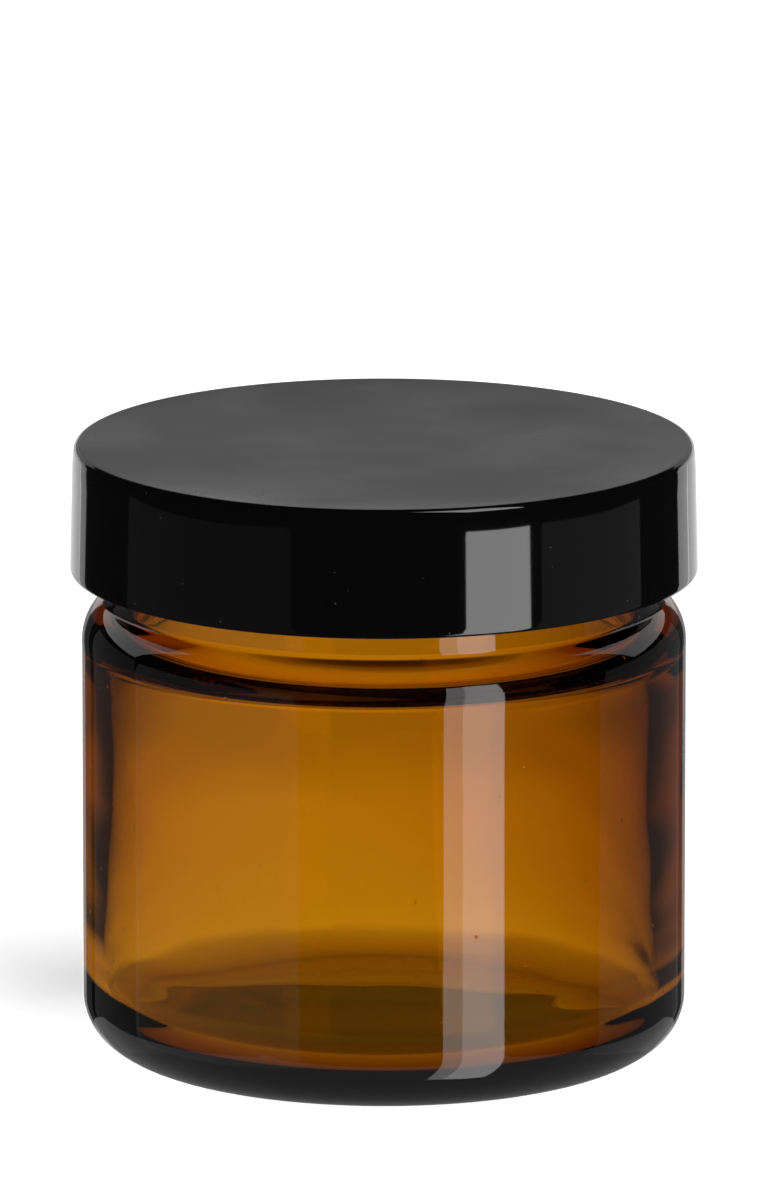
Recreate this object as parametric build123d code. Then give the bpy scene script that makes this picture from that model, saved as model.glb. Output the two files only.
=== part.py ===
"""Straight-sided amber glass cream jar with a smooth screw cap and a two-layer liner.

Millimetres, +Z up. The origin is the centre of the circle that the jar stands on, and the
cap is screwed down. Every piece but the two thread ridges is round about Z.
"""

from build123d import *
import math
import os

# Glass body
BODY_RADIUS = 27.0
HEEL_RADIUS = 5.0
SHOULDER_START_Z = 37.3
SHOULDER_RADIUS = 4.8
NECK_FILLET = 0.8
LIP_Z = 52.8
LIP_OUTER_ROUND = 0.75
LIP_INNER_ROUND = 0.6

# Underside: a flat bearing ring around a shallow push-up
BEARING_RING_INNER_RADIUS = 18.6
PUSH_UP_HEIGHT = 1.0

# Inside of the glass, from the floor to the neck bore
FLOOR_Z = 3.8
FLOOR_CROWN = 0.3
FLOOR_EDGE_RADIUS = 22.6
INNER_WALL = (
    (24.6, 5.9),
    (24.6, 9.5),
    (24.3, 15.0),
)
STRAIGHT_WALL_RADIUS = 24.0
STRAIGHT_WALL_START_Z = 24.0
INNER_SHOULDER_START_Z = 36.65
INNER_SHOULDER_ROUND = 0.5
BORE_RADIUS = 22.4
BORE_START_Z = 38.05

# 53 mm shallow continuous thread, one start, right hand, six threads to the inch
NECK_RADIUS = 24.95
THREAD_CREST_RADIUS = 26.15
THREAD_PITCH = 25.4 / 6
THREAD_TOP_BELOW_LIP = 1.2
NECK_THREAD_ROOT_WIDTH = 2.4
NECK_THREAD_CREST_WIDTH = 1.0
NECK_THREAD_TURNS = 1.15

# Cap
CAP_BOTTOM_Z = 43.6
CAP_TOP_Z = 55.1
CAP_BOTTOM_RADIUS = 28.0
CAP_TOP_RADIUS = 27.8
CAP_TOP_EDGE_ROUND = 0.5
CAP_RIM_ROUND = 0.35
CAP_CORNER_ROUND = 0.3
CAP_BORE_RADIUS = 26.45
CAP_THREAD_MINOR_RADIUS = 25.25
CAP_THREAD_ROOT_WIDTH = 1.6
CAP_THREAD_CREST_WIDTH = 0.7
CAP_THREAD_TURNS = 1.1
CAP_THREAD_START_Z = 45.0
CAP_THREAD_DROP = 1.6

# Liner: pulpboard disc with a plastic film on the side that meets the glass
LINER_RADIUS = 26.1
FILM_THICKNESS = 0.1
BACKING_THICKNESS = 0.85

# How a thread ridge is built
SECTIONS_PER_TURN = 48
RUN_OUT_TURNS = 0.09
RUN_OUT_DEPTH = 0.06
THREAD_SINK = 0.25

# Figures that follow from the sizes above
NECK_THREAD_END_Z = LIP_Z - THREAD_TOP_BELOW_LIP - NECK_THREAD_ROOT_WIDTH / 2
NECK_THREAD_START_Z = NECK_THREAD_END_Z - NECK_THREAD_TURNS * THREAD_PITCH
BACKING_Z = LIP_Z + FILM_THICKNESS
CAP_CEILING_Z = BACKING_Z + BACKING_THICKNESS


def thread_section(angle, centre_z, root_radius, crest_radius, root_width, crest_width, height):
    """One cross-section of a thread ridge, in the plane through Z at the given angle.

    height runs from 0, flush with the wall, to 1, the full depth of the thread.
    """
    outward = math.copysign(1, crest_radius - root_radius)
    sunk_radius = root_radius - outward * THREAD_SINK
    tip_radius = root_radius + (crest_radius - root_radius) * height
    outline = (
        (sunk_radius, -root_width / 2),
        (root_radius, -root_width / 2),
        (tip_radius, -crest_width / 2),
        (tip_radius, crest_width / 2),
        (root_radius, root_width / 2),
        (sunk_radius, root_width / 2),
    )
    points = [
        Vector(radius * math.cos(angle), radius * math.sin(angle), centre_z + z)
        for radius, z in outline
    ]
    return Face(Wire.make_polygon(points, close=True))


def thread_ridge(start_z, start_angle, turns, root_radius, crest_radius, root_width, crest_width):
    """A right-hand helical ridge that rises out of its wall and runs back into it."""
    count = round(turns * SECTIONS_PER_TURN)
    sections = []
    for index in range(count + 1):
        travelled = turns * index / count
        to_nearest_end = min(travelled, turns - travelled)
        height = max(RUN_OUT_DEPTH, min(1.0, to_nearest_end / RUN_OUT_TURNS))
        sections.append(
            thread_section(
                start_angle + travelled * 2 * math.pi,
                start_z + travelled * THREAD_PITCH,
                root_radius,
                crest_radius,
                root_width,
                crest_width,
                height,
            )
        )
    return loft(sections, ruled=True)


def jar_outline():
    """Half section of the glass: underside, heel, side, shoulder, neck, lip and inside."""
    shoulder_centre_r = BODY_RADIUS - SHOULDER_RADIUS
    shoulder_end_z = SHOULDER_START_Z + math.sqrt(
        SHOULDER_RADIUS**2 - (NECK_RADIUS - shoulder_centre_r) ** 2
    )
    shoulder_mid_angle = math.asin((shoulder_end_z - SHOULDER_START_Z) / SHOULDER_RADIUS) / 2
    shoulder_mid = (
        shoulder_centre_r + SHOULDER_RADIUS * math.cos(shoulder_mid_angle),
        SHOULDER_START_Z + SHOULDER_RADIUS * math.sin(shoulder_mid_angle),
    )
    with BuildSketch(Plane.XZ) as sketch:
        with BuildLine():
            push_up = ThreePointArc(
                (0, PUSH_UP_HEIGHT),
                (BEARING_RING_INNER_RADIUS / 2, PUSH_UP_HEIGHT * 3 / 4),
                (BEARING_RING_INNER_RADIUS, 0),
            )
            ring = Line(push_up @ 1, (BODY_RADIUS - HEEL_RADIUS, 0))
            heel = RadiusArc(ring @ 1, (BODY_RADIUS, HEEL_RADIUS), -HEEL_RADIUS)
            side = Line(heel @ 1, (BODY_RADIUS, SHOULDER_START_Z))
            shoulder = ThreePointArc(side @ 1, shoulder_mid, (NECK_RADIUS, shoulder_end_z))
            neck = Line(shoulder @ 1, (NECK_RADIUS, LIP_Z))
            lip = Line(neck @ 1, (BORE_RADIUS, LIP_Z))
            bore = Line(lip @ 1, (BORE_RADIUS, BORE_START_Z))
            inner_shoulder = Line(bore @ 1, (STRAIGHT_WALL_RADIUS, INNER_SHOULDER_START_Z))
            straight = Line(inner_shoulder @ 1, (STRAIGHT_WALL_RADIUS, STRAIGHT_WALL_START_Z))
            inner_wall = Spline(
                straight @ 1,
                *reversed(INNER_WALL),
                (FLOOR_EDGE_RADIUS, FLOOR_Z),
                tangents=[(0, -1), (-1, 0)],
            )
            crown = Spline(
                inner_wall @ 1,
                (0, FLOOR_Z + FLOOR_CROWN),
                tangents=[(-1, 0), (-1, 0)],
            )
            Line(crown @ 1, push_up @ 0)
        make_face()
        fillet(vertex_near(sketch, NECK_RADIUS, shoulder_end_z), NECK_FILLET)
        fillet(vertex_near(sketch, NECK_RADIUS, LIP_Z), LIP_OUTER_ROUND)
        fillet(vertex_near(sketch, BORE_RADIUS, LIP_Z), LIP_INNER_ROUND)
        fillet(vertex_near(sketch, BORE_RADIUS, BORE_START_Z), INNER_SHOULDER_ROUND)
        fillet(
            vertex_near(sketch, STRAIGHT_WALL_RADIUS, INNER_SHOULDER_START_Z),
            INNER_SHOULDER_ROUND,
        )
    return sketch.sketch


def vertex_near(sketch, radius, z):
    """The corner of a half section that lies nearest to a radius and a height."""
    return min(
        sketch.vertices(),
        key=lambda corner: math.hypot(corner.X - radius, corner.Y - z),
    )


def glass_jar():
    """The glass: the turned body with its thread ridge."""
    body = revolve(jar_outline(), Axis.Z)
    ridge = thread_ridge(
        NECK_THREAD_START_Z,
        0,
        NECK_THREAD_TURNS,
        NECK_RADIUS,
        THREAD_CREST_RADIUS,
        NECK_THREAD_ROOT_WIDTH,
        NECK_THREAD_CREST_WIDTH,
    )
    return body + ridge


def cap_outline():
    """Half section of the cap: a thin cup, open below, slightly narrower at its top."""
    with BuildSketch(Plane.XZ) as sketch:
        with BuildLine():
            Polyline(
                (0, CAP_CEILING_Z),
                (CAP_BORE_RADIUS, CAP_CEILING_Z),
                (CAP_BORE_RADIUS, CAP_BOTTOM_Z),
                (CAP_BOTTOM_RADIUS, CAP_BOTTOM_Z),
                (CAP_TOP_RADIUS, CAP_TOP_Z),
                (0, CAP_TOP_Z),
                close=True,
            )
        make_face()
        fillet(vertex_near(sketch, CAP_TOP_RADIUS, CAP_TOP_Z), CAP_TOP_EDGE_ROUND)
        fillet(vertex_near(sketch, CAP_BOTTOM_RADIUS, CAP_BOTTOM_Z), CAP_RIM_ROUND)
        fillet(vertex_near(sketch, CAP_BORE_RADIUS, CAP_BOTTOM_Z), CAP_RIM_ROUND)
        fillet(vertex_near(sketch, CAP_BORE_RADIUS, CAP_CEILING_Z), CAP_CORNER_ROUND)
    return sketch.sketch


def cap_shell():
    """The cap: the turned cup with its thread ridge, just below the glass thread all round."""
    start_angle = 2 * math.pi * (
        (CAP_THREAD_START_Z + CAP_THREAD_DROP - NECK_THREAD_START_Z) / THREAD_PITCH
    )
    ridge = thread_ridge(
        CAP_THREAD_START_Z,
        start_angle,
        CAP_THREAD_TURNS,
        CAP_BORE_RADIUS,
        CAP_THREAD_MINOR_RADIUS,
        CAP_THREAD_ROOT_WIDTH,
        CAP_THREAD_CREST_WIDTH,
    )
    return revolve(cap_outline(), Axis.Z) + ridge


def liner_disc(bottom_z, thickness):
    """One layer of the liner."""
    disc = Cylinder(LINER_RADIUS, thickness, align=(Align.CENTER, Align.CENTER, Align.MIN))
    return Pos(0, 0, bottom_z) * disc


def main():
    """Build every piece and write it to its own STEP file."""
    os.makedirs("parts", exist_ok=True)
    pieces = {
        "glass_jar": glass_jar(),
        "cap_shell": cap_shell(),
        "liner_backing": liner_disc(BACKING_Z, BACKING_THICKNESS),
        "liner_facing": liner_disc(LIP_Z, FILM_THICKNESS),
    }
    for name, piece in pieces.items():
        export_step(piece, f"parts/{name}.step")


main()
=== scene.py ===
"""Amber glass cream jar with a smooth black screw cap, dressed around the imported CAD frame.

Metres, +Z up, the jar standing on z = 0 with its axis on Z. Every turned piece starts as a half
section that is spun about Z; threads, ripples and imprints are then moved into the spun mesh.
"""

import logging
import math
from collections.abc import Callable
from dataclasses import dataclass, field
from enum import Enum

import bmesh
import bpy
from mathutils import Matrix, Vector, noise


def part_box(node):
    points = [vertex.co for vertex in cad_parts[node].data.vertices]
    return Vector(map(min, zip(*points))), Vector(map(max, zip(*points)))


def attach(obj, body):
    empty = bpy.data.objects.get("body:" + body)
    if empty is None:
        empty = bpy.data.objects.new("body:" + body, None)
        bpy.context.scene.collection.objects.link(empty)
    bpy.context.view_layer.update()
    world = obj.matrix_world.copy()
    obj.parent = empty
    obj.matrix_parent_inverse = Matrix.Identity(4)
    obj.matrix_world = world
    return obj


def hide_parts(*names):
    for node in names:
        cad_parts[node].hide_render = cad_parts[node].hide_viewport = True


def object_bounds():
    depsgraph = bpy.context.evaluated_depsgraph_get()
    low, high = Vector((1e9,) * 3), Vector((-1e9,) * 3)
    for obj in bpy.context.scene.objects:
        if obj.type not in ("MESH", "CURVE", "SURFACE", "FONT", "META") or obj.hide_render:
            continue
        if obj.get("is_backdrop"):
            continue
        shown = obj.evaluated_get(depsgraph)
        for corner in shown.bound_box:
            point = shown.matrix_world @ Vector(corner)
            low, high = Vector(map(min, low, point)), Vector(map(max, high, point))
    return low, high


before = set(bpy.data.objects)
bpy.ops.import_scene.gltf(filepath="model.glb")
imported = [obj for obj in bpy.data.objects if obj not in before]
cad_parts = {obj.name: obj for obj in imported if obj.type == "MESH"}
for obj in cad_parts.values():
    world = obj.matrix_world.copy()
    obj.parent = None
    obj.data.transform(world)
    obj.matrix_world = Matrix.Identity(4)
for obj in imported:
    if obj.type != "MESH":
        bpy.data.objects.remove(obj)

MM = 0.001
SECTORS = 16
WELD_DISTANCE = 0.002 * MM
THREAD_PITCH = 25.4 / 6 * MM
LOG = logging.getLogger("cream_jar")

Point = tuple[float, float]
Colour = tuple[float, float, float]


# --------------------------------------------------------------------------------------------
# Half sections and turned meshes
# --------------------------------------------------------------------------------------------


class Outline:
    """A half section drawn point by point in radius and height."""

    def __init__(self, radius: float, z: float) -> None:
        """Start the outline.

        Args:
            radius: distance of the first point from the axis.
            z: height of the first point.
        """
        self.points: list[Point] = [(radius, z)]

    def line(self, radius: float, z: float, pieces: int = 1) -> "Outline":
        """Go straight to a point.

        Args:
            radius: radius of the end point.
            z: height of the end point.
            pieces: how many equal pieces the line is cut into.

        Returns:
            The outline itself.
        """
        start_r, start_z = self.points[-1]
        for index in range(1, pieces + 1):
            share = index / pieces
            self.points.append(
                (start_r + (radius - start_r) * share, start_z + (z - start_z) * share)
            )
        return self

    def arc(self, centre: Point, degrees: float, pieces: int) -> "Outline":
        """Go round a centre.

        Args:
            centre: radius and height of the arc's centre.
            degrees: how far to turn, anticlockwise when positive.
            pieces: how many chords the arc has.

        Returns:
            The outline itself.
        """
        start_r, start_z = self.points[-1]
        reach = math.hypot(start_r - centre[0], start_z - centre[1])
        first = math.atan2(start_z - centre[1], start_r - centre[0])
        for index in range(1, pieces + 1):
            angle = first + math.radians(degrees) * index / pieces
            self.points.append(
                (centre[0] + reach * math.cos(angle), centre[1] + reach * math.sin(angle))
            )
        return self

    def curve(self, through: list[Point], leave: Point, arrive: Point, pieces: int) -> "Outline":
        """Go through several points on one smooth curve.

        Args:
            through: the points, the last of them the end.
            leave: direction and speed at the start.
            arrive: direction and speed at the end.
            pieces: how many chords join one point to the next.

        Returns:
            The outline itself.
        """
        stops = [Vector(self.points[-1]), *(Vector(point) for point in through)]
        speeds = [Vector(leave)]
        speeds += [(stops[i + 1] - stops[i - 1]) / 2 for i in range(1, len(stops) - 1)]
        speeds.append(Vector(arrive))
        for i in range(len(stops) - 1):
            for index in range(1, pieces + 1):
                point = hermite(stops[i : i + 2], speeds[i : i + 2], index / pieces)
                self.points.append(tuple(point))
        return self


def hermite(ends: list[Vector], speeds: list[Vector], share: float) -> Vector:
    """A point on the smooth span between two points.

    Args:
        ends: the two end points.
        speeds: the direction and speed at each end.
        share: how far along the span, from 0 to 1.

    Returns:
        The point.
    """
    square, cube = share**2, share**3
    return (
        ends[0] * (2 * cube - 3 * square + 1)
        + speeds[0] * (cube - 2 * square + share)
        + ends[1] * (3 * square - 2 * cube)
        + speeds[1] * (cube - square)
    )


def smooth_step(low: float, high: float, value: float) -> float:
    """Rise smoothly from 0 at low to 1 at high.

    Args:
        low: where the rise starts.
        high: where the rise ends.
        value: where it is read.

    Returns:
        A value from 0 to 1.
    """
    share = min(1.0, max(0.0, (value - low) / (high - low)))
    return share * share * (3 - 2 * share)


def turned(outline: Outline, steps: int) -> bmesh.types.BMesh:
    """Spin a half section about Z into a closed mesh with its faces outwards.

    One sector is spun, and then doubled until it closes the circle, which is far quicker
    than one full spin.

    Args:
        outline: a half section whose two ends lie on the axis.
        steps: how many steps the full turn takes, a multiple of the sectors.

    Returns:
        The mesh, still open for editing.
    """
    mesh = bmesh.new()
    corners = [mesh.verts.new((radius, 0.0, z)) for radius, z in outline.points]
    edges = [mesh.edges.new(pair) for pair in zip(corners, corners[1:])]
    bmesh.ops.spin(
        mesh,
        geom=[*corners, *edges],
        cent=(0, 0, 0),
        axis=(0, 0, 1),
        angle=math.tau / SECTORS,
        steps=steps // SECTORS,
    )
    for copied in range(round(math.log2(SECTORS))):
        half = bmesh.ops.duplicate(mesh, geom=[*mesh.verts, *mesh.edges, *mesh.faces])["geom"]
        bmesh.ops.rotate(
            mesh,
            verts=[item for item in half if isinstance(item, bmesh.types.BMVert)],
            cent=(0, 0, 0),
            matrix=Matrix.Rotation(math.tau / SECTORS * 2**copied, 3, "Z"),
        )
    bmesh.ops.remove_doubles(mesh, verts=mesh.verts, dist=WELD_DISTANCE)
    bmesh.ops.recalc_face_normals(mesh, faces=mesh.faces)
    return mesh


def shape_radially(mesh: bmesh.types.BMesh, change: Callable[[float, float, float], float]) -> None:
    """Move every point of a turned mesh towards or away from the axis.

    Args:
        mesh: the mesh to change.
        change: gives the move outwards for a radius, an azimuth and a height.
    """
    for corner in mesh.verts:
        radius = math.hypot(corner.co.x, corner.co.y)
        if radius > 1 * MM:
            angle = math.atan2(corner.co.y, corner.co.x)
            corner.co.xy *= 1 + change(radius, angle, corner.co.z) / radius


def finished(mesh: bmesh.types.BMesh, name: str, material: bpy.types.Material) -> bpy.types.Object:
    """Turn an edited mesh into a smooth-shaded object at the origin.

    Args:
        mesh: the mesh, which is freed.
        name: the piece's name.
        material: what the piece is made of.

    Returns:
        The object, linked to the scene.
    """
    data = bpy.data.meshes.new(name)
    mesh.to_mesh(data)
    mesh.free()
    data.shade_smooth()
    data.materials.append(material)
    piece = bpy.data.objects.new(name, data)
    bpy.context.scene.collection.objects.link(piece)
    LOG.info("%s: %d faces", name, len(data.polygons))
    return piece


@dataclass(frozen=True)
class Thread:
    """A one-start right-hand screw thread that is pressed into a turned wall."""

    start_z: float
    start_angle: float
    turns: float
    depth: float
    root_width: float
    crest_width: float
    pitch: float = THREAD_PITCH
    run_out: float = 0.1

    def height(self, angle: float, z: float) -> float:
        """How far the ridge stands out of its wall.

        Args:
            angle: azimuth of the point.
            z: height of the point.

        Returns:
            The ridge's height there, never negative.
        """
        tallest = 0.0
        turned_by = ((angle - self.start_angle) / math.tau) % 1.0
        for lap in range(math.ceil(self.turns) + 1):
            travelled = turned_by + lap
            if travelled > self.turns:
                break
            away = abs(z - self.start_z - travelled * self.pitch)
            flank = smooth_step(self.root_width / 2, self.crest_width / 2 - 0.1 * MM, away)
            ends = smooth_step(0.0, self.run_out, min(travelled, self.turns - travelled))
            tallest = max(tallest, self.depth * flank * ends)
        return tallest


# --------------------------------------------------------------------------------------------
# Finishes
# --------------------------------------------------------------------------------------------


class Graph:
    """A short way to write a material's node tree."""

    def __init__(self, name: str) -> None:
        """Make an empty material.

        Args:
            name: the material's name.
        """
        self.material = bpy.data.materials.new(name)
        self.material.use_nodes = True
        self.tree = self.material.node_tree
        self.tree.nodes.clear()
        self.output = self.tree.nodes.new("ShaderNodeOutputMaterial")

    def node(self, kind: str, links: dict | None = None, **settings: object) -> bpy.types.Node:
        """Add a node.

        Args:
            kind: the node's type, without its ShaderNode prefix.
            links: for each input, by name or number, a value or the socket that feeds it.
            **settings: the node's own properties.

        Returns:
            The node.
        """
        made = self.tree.nodes.new("ShaderNode" + kind)
        for key, value in settings.items():
            setattr(made, key, value)
        for key, value in (links or {}).items():
            if isinstance(value, bpy.types.NodeSocket):
                self.tree.links.new(value, made.inputs[key])
            else:
                made.inputs[key].default_value = value
        return made

    def place(self, scale: tuple[float, float, float] = (1, 1, 1)) -> bpy.types.NodeSocket:
        """The object's own coordinates, scaled.

        Args:
            scale: factors along X, Y and Z.

        Returns:
            The vector socket.
        """
        here = self.node("TexCoord").outputs["Object"]
        return self.node("Mapping", {"Vector": here, "Scale": scale}).outputs["Vector"]

    def maths(self, operation: str, *values: object) -> bpy.types.NodeSocket:
        """One sum.

        Args:
            operation: the Math node's operation.
            *values: numbers or sockets.

        Returns:
            The result's socket.
        """
        return self.node("Math", dict(enumerate(values)), operation=operation).outputs[0]

    def reach(self, across: float = 0.0, behind: float = 0.0) -> bpy.types.NodeSocket:
        """Level distance from a point near the jar's axis.

        Args:
            across: how far the point lies to the right of the axis.
            behind: how far it lies behind the axis.

        Returns:
            The distance's socket.
        """
        here = self.node("TexCoord").outputs["Object"]
        shift = {"Vector": here, "Location": (-across, -behind, 0.0), "Scale": (1.0, 1.0, 0.0)}
        links = {0: self.node("Mapping", shift).outputs["Vector"]}
        return self.node("VectorMath", links, operation="LENGTH").outputs["Value"]

    def ramp(
        self, value: bpy.types.NodeSocket, low: float, high: float, to_low: float, to_high: float
    ) -> bpy.types.NodeSocket:
        """Map a range of values smoothly onto another.

        Args:
            value: what is mapped.
            low: where the input range starts.
            high: where the input range ends.
            to_low: the result at low.
            to_high: the result at high.

        Returns:
            The result's socket.
        """
        links = {"Value": value, "From Min": low, "From Max": high}
        links |= {"To Min": to_low, "To Max": to_high}
        return self.node("MapRange", links, interpolation_type="SMOOTHSTEP").outputs["Result"]

    def noise(
        self, scale: float, detail: float, stretch: tuple[float, float, float] = (1, 1, 1)
    ) -> bpy.types.NodeSocket:
        """Cloudy noise in the object's own coordinates.

        Args:
            scale: how many patches fit into a metre.
            detail: how fine the patches break up.
            stretch: factors along X, Y and Z.

        Returns:
            The noise's value socket.
        """
        links = {"Vector": self.place(stretch), "Scale": scale, "Detail": detail}
        return self.node("TexNoise", links).outputs[0]

    def specks(self, scale: float, size: float, share: float) -> bpy.types.NodeSocket:
        """Sparse round specks in the object's own coordinates.

        Args:
            scale: how many cells fit into a metre, each with one speck at most.
            size: radius of a speck, as a part of its cell.
            share: how many of the cells hold a speck, from 0 to 1.

        Returns:
            A socket that is 1 in the specks and 0 between them.
        """
        cell = self.node("TexVoronoi", {"Vector": self.place(), "Scale": scale})
        near = self.ramp(cell.outputs["Distance"], size * 0.3, size, 1.0, 0.0)
        pick = self.node("SeparateColor", {0: cell.outputs["Color"]}).outputs[0]
        return self.maths("MULTIPLY", near, self.maths("LESS_THAN", pick, share))

    def bump(
        self, height: bpy.types.NodeSocket, depth: float, under: bpy.types.NodeSocket | None = None
    ) -> bpy.types.NodeSocket:
        """Relief that only tilts the surface's normal.

        Args:
            height: the relief, from 0 to 1.
            depth: how deep the relief is, in metres.
            under: relief that this one lies on.

        Returns:
            The normal socket.
        """
        links = {"Height": height, "Distance": depth, "Strength": 1.0}
        if under is not None:
            links["Normal"] = under
        return self.node("Bump", links).outputs["Normal"]

    def mix(self, share: object, low: object, high: object) -> bpy.types.NodeSocket:
        """Blend two colours.

        Args:
            share: number or socket, 0 for the first colour.
            low: the first colour or its socket.
            high: the second colour or its socket.

        Returns:
            The colour socket.
        """
        blend = self.node("Mix", data_type="RGBA")
        for key, value in (("Factor_Float", share), ("A_Color", low), ("B_Color", high)):
            socket = next(item for item in blend.inputs if item.identifier == key)
            if isinstance(value, bpy.types.NodeSocket):
                self.tree.links.new(value, socket)
            else:
                socket.default_value = value if key == "Factor_Float" else (*value, 1.0)
        return next(item for item in blend.outputs if item.identifier == "Result_Color")

    def close(
        self, surface: bpy.types.Node, volume: bpy.types.Node | None = None
    ) -> bpy.types.Material:
        """Join the shaders to the output.

        Args:
            surface: the surface shader.
            volume: the shader of what fills the piece.

        Returns:
            The finished material.
        """
        self.tree.links.new(surface.outputs[0], self.output.inputs["Surface"])
        if volume is not None:
            self.tree.links.new(volume.outputs[0], self.output.inputs["Volume"])
        return self.material


@dataclass(frozen=True)
class AmberGlass:
    """Amber container glass, coloured right through, with a slightly rippled skin."""

    name: str = "amber_glass"
    refraction: float = 1.52
    colour: Colour = (0.886, 0.726, 0.0)
    density: float = 1150.0
    ripple_depth: float = 0.012 * MM
    seed_depth: float = 0.03 * MM

    def material(self) -> bpy.types.Material:
        """Build the material."""
        graph = Graph(self.name)
        ripple = graph.noise(90.0, 2.0, (1, 1, 0.5))
        seeds = graph.specks(420.0, 0.07, 0.5)
        skin = graph.bump(seeds, self.seed_depth, graph.bump(ripple, self.ripple_depth))
        surface = graph.node(
            "BsdfPrincipled",
            {
                "Base Color": (1.0, 1.0, 1.0, 1.0),
                "Roughness": 0.0,
                "IOR": self.refraction,
                "Transmission Weight": 1.0,
                "Normal": skin,
            },
        )
        depth = {"Color": (*self.colour, 1.0), "Density": self.density}
        fill = graph.node("VolumeAbsorption", depth)
        return graph.close(surface, fill)


@dataclass(frozen=True)
class CapPlastic:
    """Black moulded plastic: polished on the side, satin on top."""

    top_z: float
    satin_radius: float
    name: str = "black_cap_plastic"
    colour: Colour = (0.0025, 0.0025, 0.0028)
    side_roughness: float = 0.045
    top_roughness: float = 0.3
    dust: Colour = (0.16, 0.16, 0.17)

    def material(self) -> bpy.types.Material:
        """Build the material."""
        graph = Graph(self.name)
        height = graph.node("SeparateXYZ", {0: graph.place()}).outputs["Z"]
        high = graph.ramp(height, self.top_z - 0.6 * MM, self.top_z - 0.5 * MM, 0.0, 1.0)
        inner = graph.ramp(graph.reach(), self.satin_radius, self.satin_radius + 0.2 * MM, 1.0, 0.0)
        on_top = graph.maths("MULTIPLY", high, inner)
        cloud = graph.noise(60.0, 3.0)
        side = graph.ramp(cloud, 0.3, 0.7, self.side_roughness * 0.8, self.side_roughness * 1.3)
        top = graph.ramp(cloud, 0.3, 0.7, self.top_roughness * 0.85, self.top_roughness * 1.15)
        rough = graph.node("Mix", {"Factor": on_top, "A": side, "B": top}).outputs["Result"]
        streaks = graph.noise(300.0, 3.0, (1, 1, 0.06))
        relief = graph.bump(streaks, 0.004 * MM)
        tint = graph.mix(graph.specks(900.0, 0.07, 0.35), self.colour, self.dust)
        surface = graph.node(
            "BsdfPrincipled",
            {
                "Base Color": tint,
                "Roughness": rough,
                "IOR": 1.5,
                "Normal": relief,
            },
        )
        return graph.close(surface)


@dataclass(frozen=True)
class PressedPulp:
    """Grey-brown pulpboard with fibres and flecks."""

    name: str = "pulpboard"
    pale: Colour = (0.58, 0.50, 0.38)
    dark: Colour = (0.34, 0.27, 0.18)

    def material(self) -> bpy.types.Material:
        """Build the material."""
        graph = Graph(self.name)
        fibre = graph.noise(900.0, 6.0, (1, 0.35, 1))
        tint = graph.mix(graph.ramp(fibre, 0.35, 0.7, 0.0, 1.0), self.pale, self.dark)
        relief = graph.bump(fibre, 0.05 * MM)
        rough = graph.ramp(fibre, 0.3, 0.7, 0.82, 0.95)
        look = {"Base Color": tint, "Roughness": rough, "Normal": relief}
        surface = graph.node("BsdfPrincipled", look)
        return graph.close(surface)


@dataclass(frozen=True)
class SealFilm:
    """Thin white film on the liner, with the faint print of the board under it."""

    name: str = "liner_film"
    colour: Colour = (0.83, 0.82, 0.79)
    shade: Colour = (0.74, 0.72, 0.68)

    def material(self) -> bpy.types.Material:
        """Build the material."""
        graph = Graph(self.name)
        cloud = graph.noise(350.0, 4.0)
        tint = graph.mix(graph.ramp(cloud, 0.35, 0.7, 0.0, 1.0), self.colour, self.shade)
        relief = graph.bump(cloud, 0.02 * MM)
        rough = graph.ramp(cloud, 0.3, 0.7, 0.28, 0.42)
        look = {"Base Color": tint, "Roughness": rough, "Normal": relief}
        surface = graph.node("BsdfPrincipled", look)
        return graph.close(surface)


# --------------------------------------------------------------------------------------------
# The jar, its cap and its liner
# --------------------------------------------------------------------------------------------


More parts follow.
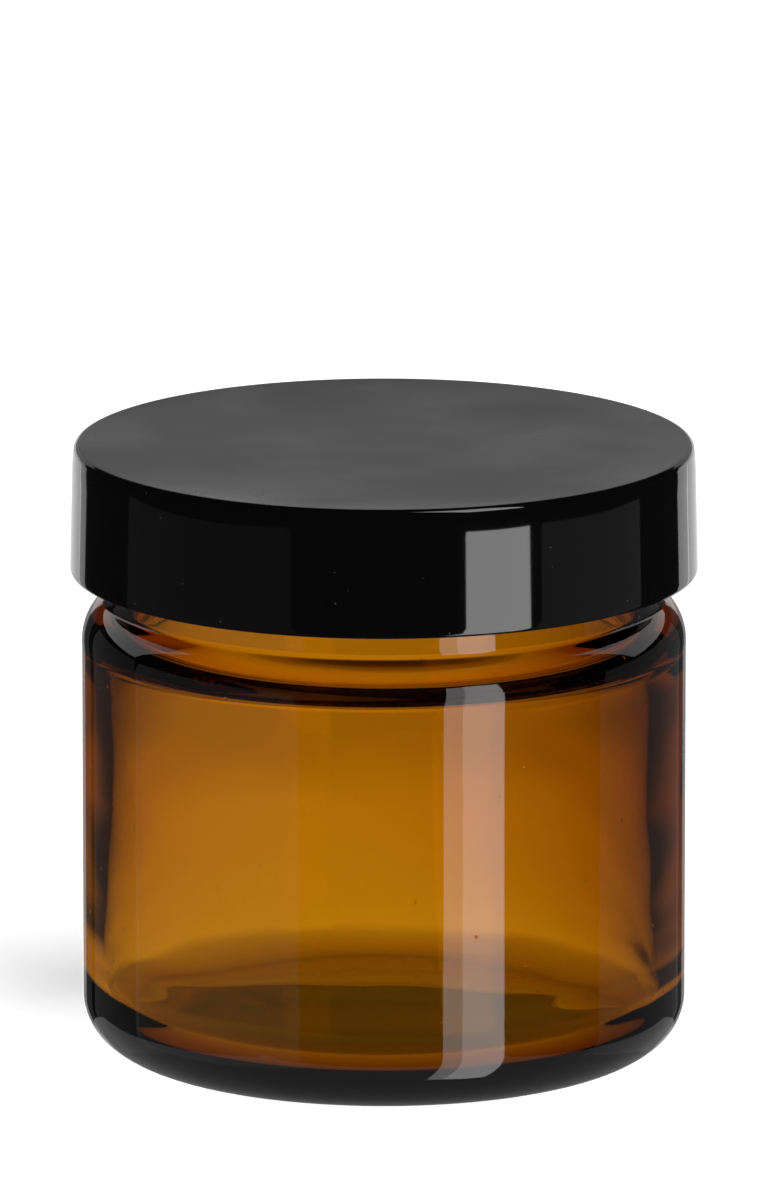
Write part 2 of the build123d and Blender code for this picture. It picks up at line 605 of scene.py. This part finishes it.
@dataclass
class GlassJar:
    """The glass: thick base, thin rippled wall, round shoulder and threaded neck."""

    body_radius: float
    lip_z: float
    finish: AmberGlass
    steps: int = 288
    heel_radius: float = 5.0 * MM
    shoulder_start_z: float = 37.3 * MM
    shoulder_radius: float = 4.8 * MM
    neck_radius: float = 24.95 * MM
    neck_fillet: float = 0.8 * MM
    bore_radius: float = 22.4 * MM
    ring_inner_radius: float = 18.6 * MM
    push_up: float = 1.0 * MM
    floor_z: float = 3.8 * MM
    floor_crown: float = 0.3 * MM
    floor_edge_radius: float = 22.6 * MM
    inner_shoulder: list[Point] = field(
        default_factory=lambda: [
            (22.62 * MM, 37.85 * MM),
            (23.62 * MM, 36.98 * MM),
            (23.96 * MM, 36.4 * MM),
            (24.0 * MM, 35.6 * MM),
        ]
    )
    straight_start_z: float = 24.0 * MM
    low_wall: list[Point] = field(
        default_factory=lambda: [
            (24.3 * MM, 15.0 * MM),
            (24.6 * MM, 9.5 * MM),
            (24.6 * MM, 5.9 * MM),
        ]
    )
    bore_start_z: float = 38.15 * MM
    lip_outer_round: float = 0.75 * MM
    lip_inner_round: float = 0.6 * MM
    ripple: float = 0.1 * MM
    wall_drift: float = 0.3 * MM
    ripple_height: float = 18.0 * MM
    settling: float = 1.5
    thread_turns: float = 1.15
    thread_depth: float = 1.2 * MM
    thread_below_lip: float = 1.2 * MM
    thread_root_width: float = 2.4 * MM
    thread_crest_width: float = 1.0 * MM

    def outline(self) -> Outline:
        """Draw the half section from the underside up, over the lip and down inside."""
        shoulder_r = self.body_radius - self.shoulder_radius
        reach = self.shoulder_radius + self.neck_fillet
        fillet_r = self.neck_radius + self.neck_fillet
        rise = math.acos((fillet_r - shoulder_r) / reach)
        fillet_z = self.shoulder_start_z + reach * math.sin(rise)
        push_radius = (self.ring_inner_radius**2 + self.push_up**2) / (2 * self.push_up)
        push_angle = math.degrees(math.asin(self.ring_inner_radius / push_radius))
        drawn = Outline(0.0, self.push_up)
        drawn.arc((0.0, self.push_up - push_radius), -push_angle, 24)
        drawn.line(self.body_radius - self.heel_radius, 0.0, 8)
        drawn.arc((self.body_radius - self.heel_radius, self.heel_radius), 90, 20)
        drawn.line(self.body_radius, self.shoulder_start_z, 48)
        drawn.arc((shoulder_r, self.shoulder_start_z), math.degrees(rise), 16)
        drawn.arc((fillet_r, fillet_z), -math.degrees(rise), 8)
        drawn.line(self.neck_radius, self.lip_z - self.lip_outer_round, 64)
        drawn.arc(
            (self.neck_radius - self.lip_outer_round, self.lip_z - self.lip_outer_round), 90, 8
        )
        drawn.line(self.bore_radius + self.lip_inner_round, self.lip_z, 2)
        drawn.arc(
            (self.bore_radius + self.lip_inner_round, self.lip_z - self.lip_inner_round), 90, 8
        )
        drawn.line(self.bore_radius, self.bore_start_z, 16)
        drawn.curve(self.inner_shoulder, (0.0, -0.25 * MM), (0.0, -0.8 * MM), 10)
        drawn.line(self.inner_shoulder[-1][0], self.straight_start_z, 24)
        drawn.curve(
            [*self.low_wall, (self.floor_edge_radius, self.floor_z)],
            (0.0, -8.0 * MM),
            (-1.6 * MM, 0.0),
            16,
        )
        drawn.curve(
            [(0.0, self.floor_z + self.floor_crown)],
            (-self.floor_edge_radius, 0.0),
            (-self.floor_edge_radius, 0.0),
            20,
        )
        return drawn

    def thread(self) -> Thread:
        """The thread on the neck."""
        top_z = self.lip_z - self.thread_below_lip - self.thread_root_width / 2
        return Thread(
            start_z=top_z - self.thread_turns * THREAD_PITCH,
            start_angle=0.0,
            turns=self.thread_turns,
            depth=self.thread_depth,
            root_width=self.thread_root_width,
            crest_width=self.thread_crest_width,
        )

    def unevenness(self, radius: float, angle: float, z: float) -> float:
        """How far the blown inner wall strays from a true circle.

        Args:
            radius: distance from the axis; not used.
            angle: azimuth.
            z: height.

        Returns:
            The move outwards.
        """
        spot = Vector((math.cos(angle), math.sin(angle), z / self.ripple_height))
        broad = noise.noise(spot * 1.1 + Vector((3.1, 7.7, 0.4)))
        fine = noise.noise(spot * 3.7 + Vector((9.2, 1.3, 5.0)))
        inside = 1 - smooth_step(self.bore_start_z - 4 * MM, self.bore_start_z + 2 * MM, z)
        drift = -self.wall_drift * math.cos(angle) * smooth_step(4 * MM, 12 * MM, z)
        settled = 1 + self.settling * (1 - smooth_step(5 * MM, 14 * MM, z))
        return inside * (self.ripple * settled * (broad + 0.3 * fine) + drift)

    def build(self) -> bpy.types.Object:
        """Make the glass and ride it on the jar body."""
        mesh = turned(self.outline(), self.steps)
        thread = self.thread()
        halfway = (self.neck_radius + self.bore_radius) / 2
        inner_limit = self.body_radius - 1.2 * MM

        def change(radius: float, angle: float, z: float) -> float:
            """Raise the thread on the neck and ripple the inner wall."""
            if z > self.shoulder_start_z and radius > halfway:
                return thread.height(angle, z)
            if z > self.floor_z - 0.1 * MM and radius < inner_limit:
                return self.unevenness(radius, angle, z)
            return 0.0

        shape_radially(mesh, change)
        glass = finished(mesh, "jar_glass", self.finish.material())
        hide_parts("glass_jar")
        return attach(glass, "jar")


@dataclass
class ScrewCap:
    """The cap: a thin polished cup with a satin, very slightly dished top."""

    radius: float
    bottom_z: float
    top_z: float
    ceiling_z: float
    finish: CapPlastic
    steps: int = 288
    taper: float = 0.2 * MM
    crown_height: float = 2.2 * MM
    crown_lean: float = 0.14 * MM
    dish: float = 0.2 * MM
    dish_rise: float = 0.6 * MM
    top_edge_round: float = 0.5 * MM
    rim_round: float = 0.35 * MM
    bore_radius: float = 26.45 * MM
    thread_start: float = 1.4 * MM
    thread_drop: float = 1.6 * MM
    thread_turns: float = 1.1
    thread_depth: float = 1.2 * MM
    thread_root_width: float = 1.6 * MM
    thread_crest_width: float = 0.7 * MM

    def outline(self) -> Outline:
        """Draw the half section from the top's centre, down the side and up inside."""
        top_r = self.radius - self.taper - self.crown_lean
        edge = self.top_edge_round
        drawn = Outline(0.0, self.top_z - self.dish)
        drawn.curve(
            [(top_r - edge, self.top_z)],
            (top_r * 0.8, 0.0),
            (top_r * 0.5, self.dish_rise),
            48,
        )
        drawn.arc((top_r - edge, self.top_z - edge), -90, 10)
        crown_foot = (self.radius - self.taper, self.top_z - edge - self.crown_height)
        drawn.curve(
            [crown_foot],
            (2 * self.crown_lean, -self.crown_height),
            (self.crown_lean * 0.2, -self.crown_height),
            10,
        )
        drawn.line(self.radius, self.bottom_z + self.rim_round, 20)
        drawn.arc((self.radius - self.rim_round, self.bottom_z + self.rim_round), -90, 6)
        drawn.line(self.bore_radius + self.rim_round, self.bottom_z, 2)
        drawn.arc((self.bore_radius + self.rim_round, self.bottom_z + self.rim_round), -90, 6)
        drawn.line(self.bore_radius, self.ceiling_z - self.rim_round, 64)
        drawn.arc((self.bore_radius - self.rim_round, self.ceiling_z - self.rim_round), 90, 6)
        drawn.line(0.0, self.ceiling_z, 12)
        return drawn

    def build(self, mate: Thread) -> bpy.types.Object:
        """Make the cap and ride it on the cap body.

        Args:
            mate: the thread on the glass, which the cap's own thread hooks under.

        Returns:
            The cap.
        """
        mesh = turned(self.outline(), self.steps)
        start_z = self.bottom_z + self.thread_start
        rise = start_z + self.thread_drop - mate.start_z
        thread = Thread(
            start_z=start_z,
            start_angle=rise / mate.pitch * math.tau,
            turns=self.thread_turns,
            depth=self.thread_depth,
            root_width=self.thread_root_width,
            crest_width=self.thread_crest_width,
        )

        def change(radius: float, angle: float, z: float) -> float:
            """Raise the thread inwards from the bore."""
            on_bore = abs(radius - self.bore_radius) < 0.02 * MM
            return -thread.height(angle, z) if on_bore else 0.0

        shape_radially(mesh, change)
        cap = finished(mesh, "cap_body", self.finish.material())
        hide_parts("cap_shell")
        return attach(cap, "cap")


@dataclass
class Liner:
    """The loose disc in the cap: pulpboard faced with film that the lip has marked."""

    board_low: Vector
    board_high: Vector
    film_low: Vector
    film_high: Vector
    lip_radius: float
    board_finish: PressedPulp
    film_finish: SealFilm
    steps: int = 192
    imprint: float = 0.03 * MM

    def disc(self, low: Vector, high: Vector, edge: float) -> Outline:
        """Draw the half section of one layer.

        Args:
            low: lowest corner of the layer's box.
            high: highest corner of the layer's box.
            edge: how far its two edges are rounded.

        Returns:
            The outline.
        """
        drawn = Outline(0.0, low.z)
        drawn.line(high.x - edge, low.z, 52)
        drawn.arc((high.x - edge, low.z + edge), 90, 4)
        drawn.line(high.x, high.z - edge, 2)
        drawn.arc((high.x - edge, high.z - edge), 90, 4)
        drawn.line(0.0, high.z, 26)
        return drawn

    def build(self) -> list[bpy.types.Object]:
        """Make both layers and ride them on the liner body."""
        board = finished(
            turned(self.disc(self.board_low, self.board_high, 0.12 * MM), self.steps),
            "liner_board",
            self.board_finish.material(),
        )
        mesh = turned(self.disc(self.film_low, self.film_high, 0.03 * MM), self.steps)
        for corner in mesh.verts:
            away = abs(corner.co.xy.length - self.lip_radius)
            if corner.co.z < self.film_low.z + 0.01 * MM:
                corner.co.z += self.imprint * (1 - smooth_step(0.5 * MM, 0.9 * MM, away))
        film = finished(mesh, "liner_film_disc", self.film_finish.material())
        for piece, node, slot in (
            (board, "liner_backing", "pulpboard"),
            (film, "liner_facing", "liner_film"),
        ):
            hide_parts(node)
            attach(piece, "liner")
        return [board, film]


# --------------------------------------------------------------------------------------------
# The studio
# --------------------------------------------------------------------------------------------


class Seen(Enum):
    """Which rays a light answers."""

    GLOSS = "gloss"
    CLEAR = "clear"
    BOTH = "both"
    FLOOR = "floor"


GLASS = ("jar_glass",)
CAP = ("cap_body",)


@dataclass
class Panel:
    """A flat soft light that stands round the jar and faces it."""

    name: str
    azimuth: float
    elevation: float
    distance: float
    width: float
    height: float
    radiance: float
    seen: Seen = Seen.GLOSS
    only: tuple[str, ...] = ()

    def build(self, aim: Vector) -> bpy.types.Object:
        """Set the light up.

        Args:
            aim: the point that the light faces.

        Returns:
            The light.
        """
        lamp = bpy.data.lights.new(self.name, "AREA")
        lamp.shape = "RECTANGLE"
        lamp.size = self.width
        lamp.size_y = self.height
        lamp.energy = self.radiance * math.pi * self.width * self.height
        light = bpy.data.objects.new(self.name, lamp)
        bpy.context.scene.collection.objects.link(light)
        turn, rise = math.radians(self.azimuth), math.radians(self.elevation)
        away = Vector(
            (math.sin(turn) * math.cos(rise), -math.cos(turn) * math.cos(rise), math.sin(rise))
        )
        light.location = aim + away * self.distance
        light.rotation_mode = "QUATERNION"
        light.rotation_quaternion = away.to_track_quat("Z", "Y")
        light.visible_camera = False
        light.visible_diffuse = self.seen is Seen.FLOOR
        light.visible_glossy = self.seen is not Seen.FLOOR
        light.visible_transmission = self.seen in (Seen.CLEAR, Seen.BOTH)
        if self.only:
            group = bpy.data.collections.new(self.name + "_receivers")
            for piece in self.only:
                group.objects.link(bpy.data.objects[piece])
            light.light_linking.receiver_collection = group
        return light


@dataclass
class Studio:
    """Pale floor, soft lights and the camera."""

    floor_z: float
    camera_distance: float = 1431 * MM
    camera_elevation: float = 13.61
    camera_tilt_up: float = 0.6415
    aim_height: float = 24.3 * MM
    lens: float = 479.9
    floor_size: float = 8.0
    # Floor glow: the lower value inside the painted shadow round the spot below, the higher value
    # away from it.
    floor_glow: tuple[float, float] = (0.62, 0.98)
    # Centre of the painted shadow on the floor, behind and left of the jar.
    painted_shadow_spot: Point = (-22 * MM, 38 * MM)
    sweep_half_width: float = 400 * MM
    sweep_front: float = 60 * MM
    sweep_back: float = 1500 * MM

    def floor(self) -> bpy.types.Object:
        """Lay the floor, which glows a little so that it stays pale in shadow, and glows less round
        one spot behind the jar's left: a painted shadow.
        """
        mesh = bmesh.new()
        bmesh.ops.create_grid(mesh, x_segments=2, y_segments=2, size=self.floor_size / 2)
        bmesh.ops.translate(mesh, verts=mesh.verts, vec=(0, 0, self.floor_z - 0.04 * MM))
        graph = Graph("studio_floor")
        away = graph.reach(*self.painted_shadow_spot)
        surface = graph.node(
            "BsdfPrincipled",
            {
                "Base Color": (0.82, 0.82, 0.82, 1.0),
                "Roughness": 0.9,
                "Specular IOR Level": 0.0,
                "Emission Color": (1.0, 1.0, 1.0, 1.0),
                # Glow drops round the spot: a painted shadow.
                "Emission Strength": graph.ramp(away, 12 * MM, 36 * MM, *self.floor_glow),
            },
        )
        floor = finished(mesh, "studio_floor", graph.close(surface))
        floor.visible_glossy = False
        floor.visible_transmission = False
        floor.visible_shadow = False
        floor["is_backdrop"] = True
        return floor

    def paper(self) -> bpy.types.Material:
        """Paper that glows by its own emission, with a painted shadow under the jar and painted
        shade towards the sides and along its length.
        """
        graph = Graph("studio_paper_painted_shade")
        split = graph.node("SeparateXYZ", {0: graph.place()})
        across, along = split.outputs["X"], split.outputs["Y"]
        painted_shade_shares = (
            # Painted shadow under the jar, painted falloff of light to both sides, painted shade
            # bands along the paper's length.
            graph.ramp(graph.reach(0.0, 2 * MM), 12 * MM, 46 * MM, 0.03, 1.0),
            graph.ramp(across, 0.0, 105 * MM, 1.0, 0.04),
            graph.ramp(across, -95 * MM, -30 * MM, 0.04, 1.0),
            graph.ramp(along, 95 * MM, 125 * MM, 1.05, 0.77),
            graph.ramp(along, 170 * MM, 400 * MM, 1.0, 1.4),
        )
        glow = painted_shade_shares[0]
        for share in painted_shade_shares[1:]:
            glow = graph.maths("MULTIPLY", glow, share)
        return graph.close(graph.node("Emission", {"Strength": glow}))

    def sweep(self) -> None:
        """Lay the narrow white paper that the glass is seen against."""
        mesh = bmesh.new()
        bmesh.ops.create_grid(mesh, x_segments=1, y_segments=1, size=0.5)
        stretch = (2 * self.sweep_half_width, self.sweep_back + self.sweep_front, 1.0)
        bmesh.ops.scale(mesh, verts=mesh.verts, vec=stretch)
        middle = (self.sweep_back - self.sweep_front) / 2
        bmesh.ops.translate(mesh, verts=mesh.verts, vec=(0, middle, self.floor_z - 0.02 * MM))
        sweep = finished(mesh, "studio_sweep", self.paper())
        sweep.visible_glossy = False
        sweep.visible_shadow = False
        sweep.visible_camera = False
        sweep.visible_diffuse = False
        sweep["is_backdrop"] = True

    def world(self) -> None:
        """Fill the room: pale to look at, dim to light by."""
        world = bpy.data.worlds.new("studio_room")
        world.use_nodes = True
        tree = world.node_tree
        tree.nodes.clear()
        pale = tree.nodes.new("ShaderNodeBackground")
        pale.inputs["Color"].default_value = (1.0, 1.0, 1.0, 1.0)
        dim = tree.nodes.new("ShaderNodeBackground")
        dim.inputs["Color"].default_value = (0.012, 0.012, 0.013, 1.0)
        path = tree.nodes.new("ShaderNodeLightPath")
        blend = tree.nodes.new("ShaderNodeMixShader")
        output = tree.nodes.new("ShaderNodeOutputWorld")
        tree.links.new(path.outputs["Is Camera Ray"], blend.inputs[0])
        tree.links.new(dim.outputs[0], blend.inputs[1])
        tree.links.new(pale.outputs[0], blend.inputs[2])
        tree.links.new(blend.outputs[0], output.inputs["Surface"])
        bpy.context.scene.world = world

    def lights(self) -> None:
        """Stand the soft lights round the jar."""
        aim = Vector((0.0, 0.0, self.aim_height))
        panels = (
            Panel("strip_on_glass", 33.9, -13.6, 0.6, 0.245, 0.9, 1.9, Seen.BOTH, GLASS),
            Panel("strip_bright", 37.4, -13.6, 0.6, 0.165, 0.9, 1.5, Seen.GLOSS, GLASS),
            Panel("strip_on_cap", 41.6, -25.5, 0.6, 0.27, 0.43, 4.6, Seen.GLOSS, CAP),
            Panel("strip_over_cap", 41.6, 45.0, 0.6, 0.24, 0.5, 4.6, Seen.GLOSS, CAP),
            Panel("left_card_cap", -70.0, -25.5, 0.6, 0.9, 0.43, 0.06, Seen.GLOSS, CAP),
            Panel("right_card", 82.6, -25.5, 0.6, 0.55, 0.43, 0.15, Seen.GLOSS, CAP),
            Panel("left_card", -70.0, -13.6, 0.6, 0.9, 0.5, 0.12, Seen.GLOSS, GLASS),
            Panel("left_far_card", -125.0, -13.6, 0.6, 0.4, 0.5, 0.07, Seen.GLOSS, GLASS),
            Panel("far_right_card", 120.0, -13.6, 0.6, 0.7, 0.5, 0.1, Seen.GLOSS, GLASS),
            Panel("rear_backdrop", 180.0, -10.0, 0.8, 0.95, 0.5, 1.0, Seen.GLOSS, CAP),
            Panel("rear_left_wing", -145.5, -10.0, 0.8, 0.112, 0.5, 0.6, Seen.GLOSS, CAP),
            Panel("rear_right_wing", 143.1, -10.0, 0.8, 0.177, 0.5, 0.9, Seen.GLOSS, CAP),
            Panel("rear_core", 180.0, -10.0, 0.8, 0.28, 0.5, 1.4, Seen.GLOSS, GLASS),
            Panel("rear_middle", 180.0, -10.0, 0.8, 0.58, 0.5, 0.35, Seen.GLOSS, GLASS),
            Panel("rear_wide", 180.0, -10.0, 0.8, 0.92, 0.5, 0.04, Seen.GLOSS, GLASS),
            Panel("rear_paper", 180.0, 14.0, 0.8, 0.6, 0.44, 0.42, Seen.CLEAR, GLASS),
            Panel("heel_glow", 0.0, -90.0, 0.25, 1.2, 1.2, 0.28, Seen.GLOSS, GLASS),
            Panel("shoulder_glow", 180.0, 72.0, 1.0, 1.2, 1.2, 0.32, Seen.GLOSS, GLASS),
            Panel("shoulder_left", -138.0, 38.0, 0.8, 0.9, 0.75, 0.75, Seen.GLOSS, GLASS),
            Panel("shoulder_right", 138.0, 38.0, 0.8, 0.9, 0.75, 0.75, Seen.GLOSS, GLASS),
            Panel("rear_top", 180.0, 16.0, 0.8, 1.16, 0.3, 0.37, Seen.GLOSS, CAP),
            Panel("key", 52.0, 74.0, 1.0, 0.32, 0.32, 14.0, Seen.FLOOR),
            Panel("overhead", 180.0, 78.0, 1.0, 1.2, 1.2, 0.3, Seen.FLOOR),
        )
        for panel in panels:
            panel.build(aim)

    def camera(self) -> None:
        """Stand the camera in front, a little above the jar."""
        data = bpy.data.cameras.new("camera")
        data.lens = self.lens
        data.sensor_width = 36.0
        data.clip_end = 20.0
        camera = bpy.data.objects.new("camera", data)
        bpy.context.scene.collection.objects.link(camera)
        rise = math.radians(self.camera_elevation)
        camera.location = (
            0.0,
            -self.camera_distance * math.cos(rise),
            self.aim_height + self.camera_distance * math.sin(rise),
        )
        tilt = math.radians(90 - self.camera_elevation + self.camera_tilt_up)
        camera.rotation_euler = (tilt, 0, 0)
        bpy.context.scene.camera = camera

    def build(self) -> None:
        """Set up everything round the jar."""
        self.floor()
        self.sweep()
        self.world()
        self.lights()
        self.camera()
        bpy.context.scene.view_settings.view_transform = "Standard"


def main() -> None:
    """Build the jar, the cap, the liner and the studio."""
    logging.basicConfig(level=logging.INFO, format="%(name)s %(message)s")
    cad_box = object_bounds()
    _, jar_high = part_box("glass_jar")
    cap_low, cap_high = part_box("cap_shell")
    board_low, board_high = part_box("liner_backing")
    film_low, film_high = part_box("liner_facing")
    jar = GlassJar(jar_high.x, jar_high.z, AmberGlass())
    jar.build()
    plastic = CapPlastic(cap_high.z, cap_high.x - 0.8 * MM)
    cap = ScrewCap(cap_high.x + 0.006 * MM, cap_low.z, cap_high.z, board_high.z, plastic)
    cap.build(jar.thread())
    lip_middle = (jar.neck_radius + jar.bore_radius) / 2
    Liner(board_low, board_high, film_low, film_high, lip_middle, PressedPulp(), SealFilm()).build()
    Studio(cad_box[0].z).build()


if __name__ == "__main__":
    main()
